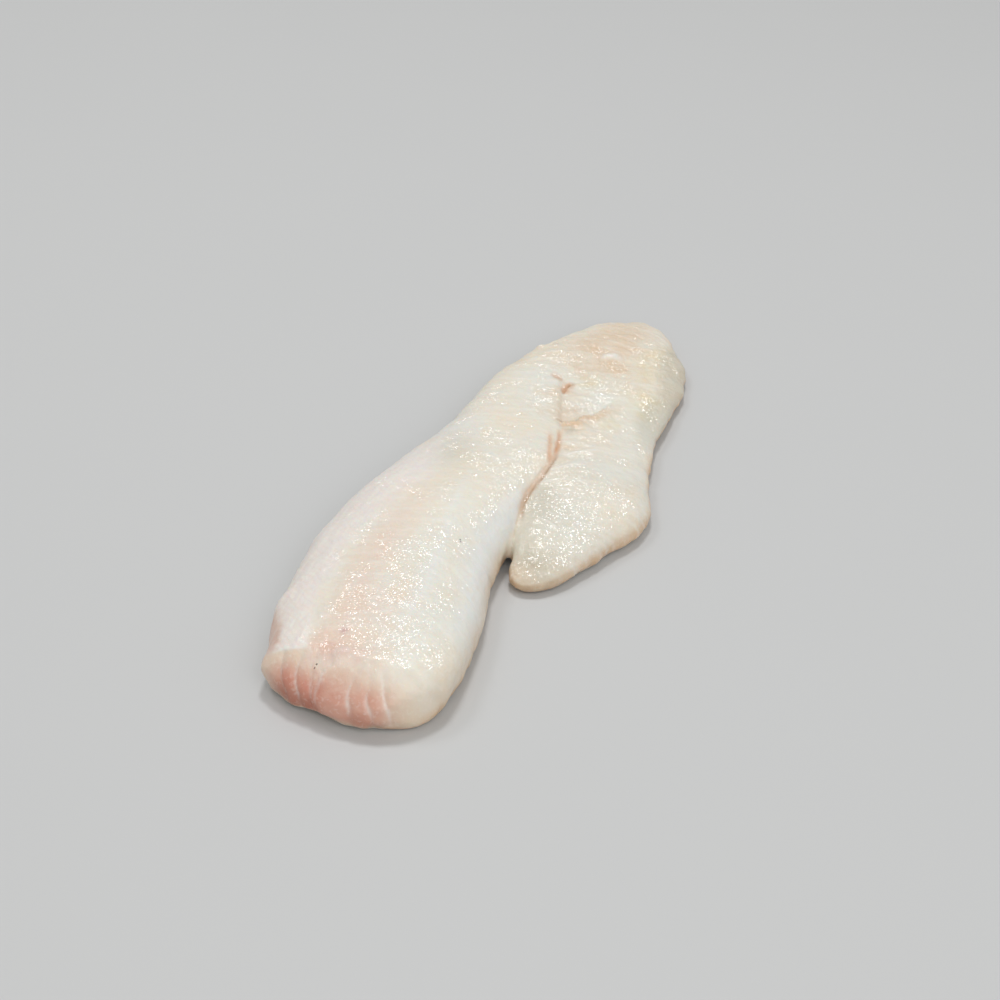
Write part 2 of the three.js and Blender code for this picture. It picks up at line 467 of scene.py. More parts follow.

# The flap and the tail: the paths of the folds that fan out, a profile of the tail's thin grey
# rim, partly painted shade where it slopes away, the paths of its crease and of a wet ridge
# painted white as a highlight, and patches of colour, each a place and a radius in millimetres.
FLAP_FOLDS = [[(46.4, -10.5), (48, -15), (49.6, -21.4)], [(43.1, -12.5), (43.6, -18), (43.2, -25)],
              [(45.3, -14.7), (46.4, -18.5), (47.6, -24)], [(41, -15), (40.6, -22), (39.6, -29)],
              [(50, -12.5), (52.6, -18), (54, -25)], [(53, -12), (56.5, -18), (59, -25)]]
RIM_EDGE = [(60, -34), (72.5, -26.5), (78, -28), (83, -23.5), (89, -20), (93.5, -20.5)]
TAIL_CREASE = [(93.5, -20.6), (89, -20), (86.7, -21.5), (83.1, -23.5), (78, -28.1),
               (72.5, -26.5)]
WET_RIDGE = [(82.6, 1), (83.4, -2.8), (84.6, -7)]
# Some of these patches are painted shade: beside the loin near the flap's tip, and around the torn
# strips and the swollen fold.
PEACH_PATCHES = [((78.7, 4.4), 4), ((84.5, 5), 8), ((88, 2), 9), ((86, -3), 6), ((81, -9), 4),
                 ((92, 0), 8), ((80, -3), 6), ((70.5, 1), 6), ((66.5, -4), 5), ((63, -7.5), 4),
                 ((32.7, -19), 5), ((33.2, -19.5), 5), ((56, -10), 3.5), ((53, -13), 3),
                 ((64.5, -5), 4), ((61.5, -9), 3.5)]
YELLOW_PATCHES = [((84.5, -18), 6), ((81, -20), 5), ((74.5, -22.5), 6), ((66, -20), 4),
                  ((88.5, -18.5), 4), ((75, -3), 6), ((75, -28), 4.5), ((71, -28), 5)]

# The water: profiles of how far its facets lean on the loin and on the flap, and where there is
# more or less of it: a place, a radius in millimetres and an amount.
WATER_LEAN = [(0, -0.35), (2, -0.25), (4, -0.07), (8, 0.08), (14, 0.17), (30, 0.25), (45, 0.31),
              (60, 0.4), (80, 0.41), (100, 0.45)]
FLAP_LEAN = [(31, -0.3), (35, -0.12), (39, 0.05), (43, 0.15), (49, 0.25), (58, 0.36)]
WET_PLACES = [
    ((5.6, 6.5), 9, 0.6), ((9.5, 1), 12, 0.2), ((14, -7), 18, 0.05), ((20, -5), 14, 0.1),
    ((5, 27), 9, 0.12), ((44, -1), 13, 0.14), ((50, -2), 9, 0.18), ((56, 4), 9, 0.12),
    ((54, -14), 9, 0.16), ((49, -22), 10, 0.14), ((42, -29), 15, 0.6), ((37, -28), 9, 0.28),
    ((45, -28), 8, 0.2), ((74.6, -3.3), 8, 0.45), ((68.7, -9), 7, 0.45), ((87, -12), 12, -0.2),
    ((76, -11), 6, 0.12), ((60.4, -8), 6, 0.12), ((62, -16), 6, 0.08), ((83.3, -1.5), 5, 0.6),
]

SPECKS = [(3.3, 15.2), (3.0, 15.5), (29.3, -2.8), (29.6, -2.4)]


class Septum(NamedTuple):
    """A pale wall between two flakes on the cut face."""

    line: list  # from its top down: height in percent, and place across in percent
    width: float  # in millimetres
    brightness: list  # height in percent, and how bright it is there
    foot: float  # how much wider it grows near its foot


SEPTA = [
    Septum([(62, 28.4), (49, 27), (39, 25.7), (20, 25)], 0.35, [(20, 0.2), (62, 0.5)], 0.3),
    Septum([(68, 21.6), (56, 21.7), (49, 21), (38, 19.6), (20, 19.2)], 0.4,
           [(20, 0.3), (50, 1), (66, 0.3)], 0.2),
    Septum([(66, 17), (61, 16.4), (54, 15.9), (47, 15.3), (20, 14.6)], 0.4,
           [(34, 0), (52, 0.8), (64, 0.3)], 0.3),
    Septum([(72, 11), (66, 12.5), (58, 12.8), (52, 13), (42, 13.1), (28, 12.5)], 0.4,
           [(24, 0.1), (56, 0.9), (70, 0.5)], 0.1),
    Septum([(76, 1.6), (66, 2.6), (54, 2.6), (46, 2.2), (39, 1.4), (20, 0.8)], 0.35,
           [(24, 0), (42, 1), (70, 0.2)], 1.1),
    Septum([(76, -3), (65, -3), (53, -3.4), (47, -4.1), (40, -5.5), (20, -6.5)], 0.35,
           [(24, 0.1), (44, 1), (70, 0.1)], 1.5),
    Septum([(80, -4.6), (68, -7), (58, -8.4), (50, -9.5), (40, -10.8), (25, -11.4)], 0.42,
           [(20, 0.5), (40, 1), (76, 0.8)], 0.8),
]

# The height at which the walls are widest, the flake, counted from the loin's free side, that
# stands proud of the others, and the face's two sides in millimetres from the middle.
SEPTA_FOOT = 42
PROUD_FLAKE = 5
FACE_SIDES = (40.0, -24.0)

# Where the outline swells or draws in: a place in percent of the length, width and thickness,
# then the radius and the amount in millimetres.
SWELLS = [
    ((3.6, -16.5, 10), 4.5, 1.0), ((5, -20, 12), 4, 0.8), ((1.5, -9.5, 8), 4, -0.9),
    ((9, -24, 20), 6, -1.0), ((0.5, 3, 12), 4, 0.5), ((0.9, 16, 9), 8, -2.0),
    ((2.3, 27, 14), 5, -1.0), ((4.1, 35, 33), 4, 1.4), ((8, 39, 45), 6, -1.0),
    ((16.5, 44.5, 50), 6, -0.6), ((20.5, 46, 52), 10, -1.0), ((32.5, 46.5, 60), 10, -0.6),
    ((45.5, 41, 60), 8, -0.6), ((54.5, 35, 62), 13, -1.0), ((70, 34, 40), 11, 0.7),
    ((82.5, 26, 44), 8, 0.5), ((97.6, 2.3, 27), 5, -0.8), ((94, 11, 33), 8, 0.6),
    ((84.8, -33.4, 18), 5, -0.8), ((22, -19, 28), 12, 0.5), ((35, -13.4, 20), 3, -0.9),
    ((33.7, -30.5, 9), 6, 0.5), ((42.6, -43.2, 11), 5, -0.6), ((49, -49.8, 18), 4, -0.5),
    ((1.2, -6, 8), 2, -1.0), ((37.7, -37.6, 10), 5, -0.5),
    ((14.5, 42.5, 54), 5, 0.8), ((59.8, 34.1, 57), 6, -1.0), ((24.9, 47.2, 55), 5, -0.8),
    ((96.5, -10.6, 26), 5, 0.8), ((98.7, 1.6, 20), 4, -0.7), ((68, -37, 20), 8, -0.8),
    ((60.3, -41.2, 24), 5, -0.7), ((29.1, -14.5, 26), 4, -0.6), ((91.2, -23.6, 27), 4, -0.9),
    ((84.8, 23.5, 43), 1.8, -2.1), ((83.3, 25.3, 43), 2.4, 0.9),
]


def septa_lines(flesh):
    """Each pale wall's place across, in millimetres, at every point's height."""
    lines = np.stack([profile(sorted(septum.line), flesh.height) for septum in SEPTA])
    return lines * WIDTH / 100 + 0.25 * flesh.wander


def septa_shown(flesh, lines):
    """How much of a pale wall shows at each point."""
    shown = np.zeros(len(flesh.x))
    for line, septum in zip(lines, SEPTA):
        width = septum.width * (1 + septum.foot * bell(flesh.height - SEPTA_FOOT, 9))
        bright = np.clip(profile(sorted(septum.brightness), flesh.height), 0, 1)
        shown = np.maximum(shown, bell(flesh.y - line, width) * bright)
    return shown


def flakes_between(flesh, lines):
    """How far the flakes between the pale walls stand out, in millimetres."""
    left, right = (np.full((1, len(flesh.x)), side) for side in FACE_SIDES)
    edges = np.concatenate([left, lines, right])
    flake = np.clip(np.sum(edges > flesh.y, axis=0), 1, len(edges) - 1)
    every = np.arange(len(flesh.x))
    high, low = edges[flake - 1, every], edges[flake, every]
    share = np.clip((high - flesh.y) / np.maximum(high - low, 0.5), 0, 1)
    bulge = 1 - (2 * share - 1) ** 2
    proud = (flake == PROUD_FLAKE) * np.exp(-share * 2.5)
    return 0.8 * np.sqrt(bulge) + 0.8 * proud - 0.7


def cut_face(flesh, masks):
    """The cut end's slanted face, whose flakes stand out between pale walls."""
    arris = profile(ARRIS, flesh.across) + 0.15 * flesh.wander
    crisp = ramp(flesh.across, 18, 24)
    soft = 1.5 * (1 - crisp) + 0.25 * crisp
    face = ramp(flesh.place, arris + soft, arris - soft) * ramp(flesh.up, -0.75, -0.2)
    lines = septa_lines(flesh)
    masks["face"] = face
    masks["septa"] = septa_shown(flesh, lines) * face

    pink = np.clip(profile(PINKNESS, flesh.across), 0, 1) * (1 - 0.45 * ramp(flesh.height, 50, 72))
    halo = ramp(flesh.place, 9.5, 4) * ramp(flesh.up, -0.4, 0.2) * 0.75 * ramp(flesh.across, -12, 4)
    halo = halo * ramp(flesh.across, 24, 17) * (1 + 0.6 * flesh.knobs)
    beneath = ramp(arris - flesh.place, 0.1, 3)
    depth = np.where(flesh.across > 14, 0.35 + 0.65 * beneath, 0.5 + 0.5 * beneath)
    masks["pink"] = pink * np.maximum(face * depth, halo)

    # The foot of the cut face is painted darker and deeper pink as shade.
    foot = ramp(flesh.height, 66, 18) * ramp(flesh.across, 8, 16) * ramp(flesh.across, 33, 26)
    foot = np.maximum(foot, ramp(flesh.height, 14, 6) * ramp(flesh.across, -8, 2))
    masks["deep"] = face * np.maximum(0.85 * foot, 0.8 * flesh.ball((0.4, -2.5, 18), 5))
    masks["cream"] = face * ramp(flesh.across, 4, -8) * ramp(flesh.height, 82, 58)
    # A painted highlight along the arris, and a painted sheen on a raised wet patch beside it.
    masks["brow"] = bell(arris - 0.3 - flesh.place, 1.1) * (1 - crisp) * flesh.upper
    masks["sheen"] = flesh.stroke(ARRIS_SHEEN, 1.5, 0.3)
    return face * flakes_between(flesh, lines) + 0.4 * masks["sheen"]


def silver_band(flesh, masks):
    """The membrane along the loin's free side, which ends in a small step by the cut end."""
    edge = profile([(-10, 19), *BAND_EDGE, (110, 22)], flesh.place) + 2.4 * flesh.wander
    blur = profile([(0, 1.5), (14, 2.5), (26, 5), (110, 7)], flesh.place)
    start = BAND_START + 0.1 * flesh.wander
    outer = profile([(-10, 29), (4, 31), (10.5, 38), (14, 46), (20, 60), (110, 70)], flesh.place)
    torn = ramp(flesh.across + 1.5 * flesh.knobs, outer - 2, outer + 2.5)
    torn *= ramp(flesh.place, 17, 12)
    band = ramp(flesh.across, edge - blur, edge + blur) * ramp(flesh.place, 64, 40)
    band *= ramp(flesh.place, start - 0.12, start + 0.12) * ramp(flesh.height, 12, 30)
    band *= (1 - flesh.on_flap) * (1 - torn)
    folds_across = (flesh.x - 0.9 * flesh.y + 2.2 * flesh.wander) / CREASE_SPACING
    creased = ramp(np.sin(folds_across * 2 * np.pi), 0.4, 1)
    step = bell(flesh.place - start - 0.2, 0.14) * ramp(flesh.across, 20, 23)
    masks["band"] = band
    masks["creases"] = band * creased * ramp(flesh.place, 60, 14)
    masks["torn"] = torn * ramp(flesh.place, 3.6, 5.5) * ramp(flesh.height, 10, 26)
    masks["step"] = step * band
    return 0.2 * band * ramp(flesh.up, 0.2, 0.7) - 0.1 * masks["creases"]


def flake_walls(flesh, masks):
    """Flake walls that show through the upper side, and the streak of the lateral line."""
    phase = (flesh.flow + 1.1 * flesh.wander) / FLAKE_SPACING
    wall = bell(phase % 1 - 0.5, 0.1) * ramp(flesh.up, 0.3, 0.8) * (1 - masks["face"])
    streak = flesh.stroke(LATERAL_LINE, 1.5, 0.2) + 0.5 * flesh.stroke(LATERAL_LINE, 4, 0.2)
    blush = bell(flesh.line(BLUSH)[0], 8) * ramp(flesh.place, 50, 20)
    blush = np.maximum(blush, 0.95 * flesh.spot((12, 11), 13, 1.4))
    masks["walls"] = wall
    masks["lateral"] = np.clip(streak * (1 - flesh.on_flap) * (0.75 + 0.4 * flesh.wander), 0, 1)
    masks["blush"] = blush * (1 - masks["band"]) * (1 - masks["torn"])
    return 0.08 * wall + 0.12 * masks["lateral"]


def slit(flesh, masks):
    """The slit between loin and flap, darkened inside with painted shade, and with amber rims."""
    seam, _, side = flesh.line(SEAM)
    crease = flesh.hollow(5, 0.15, 0.45) * ramp(seam, 4, 2) * flesh.upper
    shoulder = bell(seam * side - 2, 1.5) * ramp(flesh.place, 37, 43)
    shoulder *= ramp(flesh.place, 76, 72) * (1 - flesh.on_flap)
    cleft = bell(seam, 0.5) * ramp(flesh.place, 39, 42) * ramp(flesh.place, 56, 52)
    rim = bell(seam * side - 1, 1.1) * ramp(flesh.place, 38, 43) * ramp(flesh.place, 60, 54)
    beyond = ramp(flesh.place, 57, 62)
    lining = np.clip(profile(SEAM_LINING, flesh.place), 0, 1)
    # The crease in the slit is painted amber and brown as shade, and the cleft as a dark line of
    # shade.
    masks["amber"] = 0.45 * rim + 0.85 * crease * beyond
    masks["brown"] = crease * lining * (0.8 - 0.6 * beyond) + 0.9 * cleft
    return 0.3 * shoulder - 0.2 * crease - 0.2 * cleft


def torn_root(flesh, masks):
    """The torn strips, swollen fold, crevice and hole at the slit's root."""
    strips = np.maximum(*[flesh.stroke(path, 0.9, 0.25) for path in TORN_STRIPS])
    crevice = flesh.stroke(CREVICE, 0.45, 0.25)
    crevice_sides = flesh.stroke(CREVICE, 1.9, 0.3)
    hole = flesh.spot(HOLE, 1.8, 1.4, 55)
    lip, share, side = flesh.line(FOLD_LIP)
    lip_ends = ramp(share, 1, 0.5)
    within = (side < 0) * flesh.on_flap * ramp(flesh.place, 76, 72)
    swollen = within * np.exp(-lip / 9) * lip_ends
    beneath = (side > 0) * bell(lip - 0.8, 0.9) * lip_ends
    amber = masks["amber"] + 0.6 * strips + 0.8 * crevice_sides + 0.6 * hole
    # The crevice's dark core is partly painted shade.
    brown = masks["brown"] + 0.7 * crevice + 0.25 * hole
    masks["amber"] = np.clip(amber, 0, 1)
    # A painted shadow lies under the fold's lip.
    masks["brown"] = np.clip(brown + 0.5 * beneath * ramp(share, 0.4, 0.1), 0, 1)
    masks["brim"] = within * bell(lip - 2.2, 2.6) * lip_ends
    masks["clear"] = np.clip(within * np.exp(-lip / 7) * ramp(flesh.place, 75, 70), 0, 1)
    fold = (swollen * (1.1 + 0.8 * flesh.knobs) - 0.35 * beneath) * flesh.on_flap
    return fold + 0.5 * crevice_sides - crevice - 0.15 * strips - 0.5 * hole


def folds(flesh, masks):
    """Folds that fan out over the flap, and the tail's bumps, crease, ridge and patches."""
    fans = sum(flesh.stroke(path, 0.75, 0.35) for path in FLAP_FOLDS)
    near_seam = flesh.on_flap * ramp(flesh.place, 66, 58)
    fine = np.clip(flesh.fibres(1.5, 11, 1, 12), 0, 1) * near_seam
    crease = flesh.stroke(TAIL_CREASE, 1.0, 0.25)
    ridge = flesh.stroke(WET_RIDGE, 2.4, 0.35)
    peach = sum(flesh.spot(place, radius, 1.3, -60) for place, radius in PEACH_PATCHES)
    yellow = sum(flesh.spot(place, radius, 1.4, -20) for place, radius in YELLOW_PATCHES)
    inner_edge = profile(RIM_EDGE, flesh.place)
    outside = ramp(flesh.across, inner_edge + 3, inner_edge - 3) * ramp(flesh.place, 60, 72)
    # The tail's wet ridge is painted white as a highlight, and the flap's folds whiter, partly as
    # highlights.
    masks["fans"] = np.clip(1.2 * fans + 0.8 * fine + ridge, 0, 1)
    masks["bumps"] = np.clip(peach * (1 - 0.8 * ridge), 0, 1)
    masks["yellow"] = np.clip(yellow * (0.6 + 0.4 * flesh.knobs), 0, 1)
    # The tail's outer rim is painted grey, partly as shade where it slopes away.
    masks["silver_rim"] = outside * flesh.upper
    seam_side = flesh.on_flap * np.clip(flesh.spot((70, -3), 9, 1.3) + flesh.spot((76, 0), 7), 0, 1)
    bumps = 0.3 * masks["bumps"] * (0.5 + flesh.knobs) + 0.35 * seam_side * flesh.knobs
    return 0.4 * fans + 0.1 * fine - 0.2 * crease + 0.85 * ridge + bumps


def rims(flesh, masks):
    """Thin lower rims, painted warmer and darker as shade, with a painted shaded line along the
    foot, and small lumps all along them.
    """
    shown = 1 - flesh.base
    low = ramp(flesh.z, 9, 2) * ramp(flesh.up, 0.75, 0.1) * shown
    rough = ramp(flesh.up, 0.6, 0.2) * shown * (1 - masks["face"])
    thin = ramp(flesh.z, 12, 2.5) * ramp(flesh.up, 0.9, 0.2) * shown
    flap_rim = flesh.on_flap * ramp(flesh.z, 11, 3) * ramp(flesh.up, 0.98, 0.65)
    right_side = ramp(flesh.across, -8, -15) * (1 - flesh.on_flap) * ramp(flesh.place, 46, 38)
    thin = np.maximum(thin, 0.3 * flap_rim)
    thin = np.maximum(thin, 0.4 * right_side * ramp(flesh.z, 19, 7))
    near = (0.15 + 0.85 * ramp(flesh.across, 20, 4)) * (1 - 0.9 * masks["silver_rim"])
    # The lower rims, with the loin's lower right side, are painted warmer and darker as shade.
    masks["rim"] = thin * near * (1 - 0.7 * masks["face"]) * shown
    # A painted shaded line along the foot.
    edge_line = ramp(flesh.z, 2.6, 1.2) * ramp(flesh.up, 0.3, -0.2)
    masks["edge_line"] = edge_line * (1 - 0.6 * flesh.base)
    return 0.35 * low * flesh.lumps(4.5, 2, 8) + 0.2 * rough * flesh.lumps(3.2, 1, 9)


def flesh_grain(flesh, masks):
    """The fine unevenness of the upper side, and a faint one below."""
    broad = flesh.lumps(34, 2, 3)
    pebbles = flesh.lumps(4.6, 3, 4)
    fibres = flesh.fibres(2.6, 9, 2, 5)
    pebbly = 0.2 + 0.14 * flesh.in_tail
    top = 0.5 * broad * ramp(flesh.up, 0.2, 0.9) + pebbly * pebbles + 0.015 * fibres
    return top * (1 - flesh.base) - flesh.base * (0.1 + 0.1 * fibres)


def swells(flesh, masks):
    """Places where the outline swells or draws in."""
    return sum(amount * flesh.ball(place, radius) for place, radius, amount in SWELLS)


# Each feature gives its relief in millimetres and leaves masks for the colours. A later one may
# use an earlier one's masks.
FEATURES = (cut_face, silver_band, flake_walls, slit, torn_root, folds, rims, flesh_grain, swells)


def water(flesh, masks, contact_shade):
    """Where the water lies, and how far its facets lean along and across the fillet."""
    wet = sum(flesh.spot(place, radius, 1.3) * amount for place, radius, amount in WET_PLACES)
    masks["wet"] = np.clip(0.05 + wet, 0, 1) * (1 - 0.5 * masks["band"]) * (1 - contact_shade)
    flap_share = flesh.on_flap * ramp(flesh.place, 58, 52)
    lean = profile(WATER_LEAN, flesh.place) * (1 - flap_share)
    masks["lean"] = lean + profile(FLAP_LEAN, flesh.place) * flap_share
    slope = flesh.normals[:, 1] / np.maximum(flesh.up, 0.3)
    masks["lean_across"] = np.clip(0.8 * slope, -0.45, 0.45)


def tints(flesh, masks, contact_shade):
    """Broad changes of colour: thin grey flesh, clear and warm stretches, a bruise, painted shade
    in hollows and where the loin shades the flap, and painted light on the loin's right slope.
    """
    grey = flesh.spot((61.2, -9.3), 2.2, 1.3) + 0.6 * flesh.spot((47.5, 21), 8, 1.9, 12)
    grey += 0.7 * flesh.spot((34, -26), 10) + 0.28 * flesh.spot((42, -24), 9)
    grey += 0.17 * flesh.on_flap * ramp(flesh.place, 62, 52)
    # Painted light: the loin's right slope is painted clearer and lighter to offset its shading.
    side = ramp(flesh.up, 0.97, 0.7) * ramp(flesh.across, 2, -6) * ramp(flesh.place, 10, 20)
    # The strip where the loin's side shades the flap is painted grey as shade.
    masks["grey"] = grey + 0.65 * contact_shade
    masks["side"] = side * (1 - flesh.on_flap) * ramp(flesh.z, 8, 14) * ramp(flesh.place, 46, 41)
    masks["cool"] = flesh.spot((42, -28), 14) + flesh.spot((33, -1), 18, 1.6)
    masks["warm"] = flesh.spot((60, -17), 13, 1.3)
    masks["tail"] = flesh.in_tail * (1 - 0.5 * ramp(flesh.across, 6, 18))
    # Hollows are painted peach as shade.
    masks["hollow"] = flesh.hollow(30, 0.15, 1.0)
    masks["bruise"] = flesh.spot(BRUISE, 1.4)


def sculpted(flesh):
    """The flesh's relief in millimetres, and the masks that its colours follow."""
    masks = {"flow": flesh.flow}
    relief = sum(feature(flesh, masks) for feature in FEATURES)
    # Where the loin's side shades the flap: painted as shade, and kept drier.
    contact_shade = flesh.stroke(CONTACT, 6.5, 0.15) * flesh.on_flap
    water(flesh, masks, contact_shade)
    tints(flesh, masks, contact_shade)
    return relief, masks


# ---------------------------------------------------------------- materials


class Value:
    """A shader socket that can be reckoned with: each operator adds its Math node."""

    def __init__(self, tree, socket):
        self.tree = tree
        self.socket = socket

    def _math(self, operation, left, right):
        node = self.tree.add("ShaderNodeMath", {"operation": operation}, {0: left, 1: right})
        return Value(self.tree, node.outputs[0])

    def __add__(self, other):
        return self._math("ADD", self, other)

    def __radd__(self, other):
        return self._math("ADD", other, self)

    def __sub__(self, other):
        return self._math("SUBTRACT", self, other)

    def __rsub__(self, other):
        return self._math("SUBTRACT", other, self)

    def __mul__(self, other):
        return self._math("MULTIPLY", self, other)

    def __rmul__(self, other):
        return self._math("MULTIPLY", other, self)


class Tree:
    """A material's nodes, made by type with their settings and inputs."""

    def __init__(self, material):
        material.use_nodes = True
        self.nodes = material.node_tree.nodes
        self.links = material.node_tree.links
        self.nodes.clear()

    def add(self, kind, settings=None, inputs=None):
        """A node of this type, with its settings made first and then its sockets."""
        node = self.nodes.new(kind)
        for name, value in (settings or {}).items():
            if name == "stops":
                self._set_stops(node, value)
            else:
                setattr(node, name, value)
        for name, value in (inputs or {}).items():
            socket = node.inputs[name]
            source = value.socket if isinstance(value, Value) else value
            if isinstance(source, bpy.types.NodeSocket):
                self.links.new(source, socket)
            else:
                socket.default_value = source
        return node

    @staticmethod
    def _set_stops(node, stops):
        elements = node.color_ramp.elements
        for _ in range(len(stops) - 2):
            elements.new(0.5)
        for element, (position, shade) in zip(elements, stops):
            element.position = position
            element.color = (shade, shade, shade, 1)

    def value(self, kind, settings=None, inputs=None, output=0):
        """One output of a new node, as a Value."""
        return Value(self, self.add(kind, settings, inputs).outputs[output])

    def mask(self, name):
        """A mask stored on the mesh."""
        return self.value("ShaderNodeAttribute", {"attribute_name": name}, output="Fac")

    def noise(self, where, scale, detail=2.0, distortion=0.0):
        """Noise of 0 to 1 at a scale in lumps per metre."""
        inputs = {"Vector": where, "Scale": scale, "Detail": detail, "Distortion": distortion}
        return self.value("ShaderNodeTexNoise", {}, inputs, "Fac")

    def vector(self, x, y, z):
        """Three values as one vector."""
        return self.add("ShaderNodeCombineXYZ", {}, {"X": x, "Y": y, "Z": z}).outputs[0]

    def distance(self, where, point):
        """How far each place is from one point, both in metres."""
        inputs = {0: where, 1: point}
        return self.value("ShaderNodeVectorMath", {"operation": "DISTANCE"}, inputs, "Value")

    def facets(self, where, per_metre):
        """Heights, in metres, of small flat facets: leaning each its own way, along x, along y."""
        cells = self.add("ShaderNodeTexVoronoi", {}, {"Vector": where, "Scale": per_metre})
        settings = {"operation": "SUBTRACT"}
        inputs = {0: where, 1: cells.outputs["Position"]}
        offset = self.add("ShaderNodeVectorMath", settings, inputs)
        inputs = {0: cells.outputs["Color"], 1: (0.32, 0.6, 0.3), 2: (-0.16, -0.28, -0.15)}
        lean = self.add("ShaderNodeVectorMath", {"operation": "MULTIPLY_ADD"}, inputs)
        return [
            self.value("ShaderNodeVectorMath", {"operation": "DOT_PRODUCT"},
                       {0: offset.outputs[0], 1: slope}, "Value")
            for slope in (lean.outputs[0], (1, 0.2, 0), (0, 1.25, 0))
        ]

    def steps(self, fac, *stops):
        """The factor passed through a ramp of (position, shade) stops."""
        return self.value("ShaderNodeValToRGB", {"stops": stops}, {"Fac": fac})

    def mix(self, fac, under, over):
        """Two colours mixed."""
        settings = {"data_type": "RGBA", "clamp_factor": True}
        node = self.add("ShaderNodeMix", settings, {0: fac, 6: under, 7: over})
        return node.outputs[2]


def colour(hexadecimal):
    """A colour written in hexadecimal, as the linear values that shaders take."""
    channels = [int(hexadecimal[i : i + 2], 16) / 255 for i in (0, 2, 4)]
    linear = [c / 12.92 if c <= 0.04045 else ((c + 0.055) / 1.055) ** 2.4 for c in channels]
    return (*linear, 1.0)


def tint(name, default, description):
    """A colour setting."""
    return FloatVectorProperty(
        name=name, description=description, subtype="COLOR", size=4, min=0, max=1,
        default=colour(default),
    )


class FilletColours(bpy.types.PropertyGroup):
    """The flesh's colours."""

    cream: tint("Cream", "EEE6D5", "The flesh's main colour")
    cool: tint("Cool white", "E8E8DF", "Where the flesh is thick and clear")
    warm: tint("Warm cream", "EADBC3", "Where it is a little yellow")
    pink: tint("Pink", "CF7A66", "The cut face")
    # Deep pink is painted shade at the foot of the cut face.
    shaded_pink: tint("Deep pink", "B4705A", "Thick, dark flesh at the foot of the cut face")
    pale_pink: tint("Pale pink", "EBC9B6", "The blush beside the band and round the cut face")
    silver: tint("Silver", "F0E8E6", "The band of membrane along the loin's free side")
    # White also paints a highlight along the arris and on the tail's wet ridge, and partly on the
    # flap's folds.
    white: tint("White", "F6F3EC", "The walls between flakes")
    # Clear white also paints a sheen by the arris and light on the loin's right slope.
    clear: tint("Clear white", "EAEFF1", "The streak of the lateral line")
    # Amber also paints shade in the slit's crease and along the foot.
    amber: tint("Amber", "D9A37A", "Torn strips and the slit's rims")
    # Brown is partly painted shade: in the slit, in the crevice and under the fold's lip.
    brown: tint("Brown", "A67E56", "Inside the tears and along the seam")
    # Peach also paints shade on the lower rims, in hollows and in some patches by the slit and the
    # flap's tip.
    peach: tint("Peach", "DBB388", "The thin lower rims")
    # Grey also paints the shade where the loin's side falls on the flap, and on the tail's rim
    # where it slopes away.
    grey: tint("Grey", "BDB8A6", "Thin flesh that the dark shows through")
    yellow: tint("Yellow", "E3D4A4", "Fat at the tail")
    wine: tint("Wine", "B0627A", "A small bruise near the cut end")
    speck: tint("Speck", "4E3F30", "A few small specks")


class FilletSizes(bpy.types.PropertyGroup):
    """The fine surface's sizes."""

    cell: FloatProperty(
        name="Surface cell", description="Side of the surface's quads", default=0.0008,
        min=0.0005, max=0.003, unit="LENGTH", precision=5,
    )
    relief: FloatProperty(
        name="Relief", description="How strongly bumps, tears and folds stand out",
        default=1.0, min=0, max=2, subtype="FACTOR",
    )
    drop: FloatProperty(
        name="Drop", description="How wide the water's small facets are", default=1 / 2200,
        min=0.0001, max=0.005, unit="LENGTH", precision=5,
    )


def power(name, default, description):
    """A light's power setting."""
    return FloatProperty(
        name=name, description=description, default=default, min=0, unit="POWER",
    )


class StageSettings(bpy.types.PropertyGroup):
    """The floor and the light."""

    floor: tint("Floor", "C9CBCC", "The floor's colour")
    floor_patches: tint("Floor patches", "D9DADB", "The floor's faint paler patches")
    floor_size: FloatProperty(
        name="Floor size", description="Side of the floor", default=8.0, min=1, unit="LENGTH",
    )
    key_power: power("Key light", 8.5, "Power of the light from behind")
    side_power: power("Side light", 3.0, "Power of the light on the loin's free side")
    fill_power: power("Fill light", 15.0, "Power of the soft light from the front")
    low_power: power("Low light", 1.5, "Power of the low light on the flap's side")
    surround: tint("Surround", "F7F4F0", "The colour of the even light all round")
    surround_strength: FloatProperty(
        name="Surround strength", description="Brightness of the even light all round",
        default=0.42, min=0, subtype="FACTOR",
    )


def flesh_patterns(tree):
    """The flesh's clouds, mottle, grain and fibres, and the coordinates they are taken from."""
    where = tree.add("ShaderNodeTexCoord").outputs["Object"]
    spread = tree.add("ShaderNodeSeparateXYZ", {}, {"Vector": where})
    x, y, z = (Value(tree, spread.outputs[axis]) for axis in "XYZ")
    along = tree.mask("flow") * MM
    flakes = tree.vector(along, y * 0.2, z * 0.2)
    lengthways = tree.vector(along * 0.18, y, z * 0.4)
    strands = tree.noise(flakes, 620, 2, 0.3)
    long_strands = tree.noise(lengthways, 620, 2, 0.3)
    return SimpleNamespace(
        x=x, y=y, z=z,
        broad=tree.noise(where, 24, 3),
        cloudy=tree.noise(where, 85, 4, 0.6),
        mottle=tree.noise(where, 280, 3, 0.4),
        pores=tree.noise(where, 520, 1, 0.7),
        grain=tree.noise(where, 700, 3, 0.5),
        strands=strands,
        fibres=tree.steps(strands, (0.45, 0), (0.7, 1)),
        long_fibres=tree.steps(long_strands, (0.45, 0), (0.7, 1)),
    )


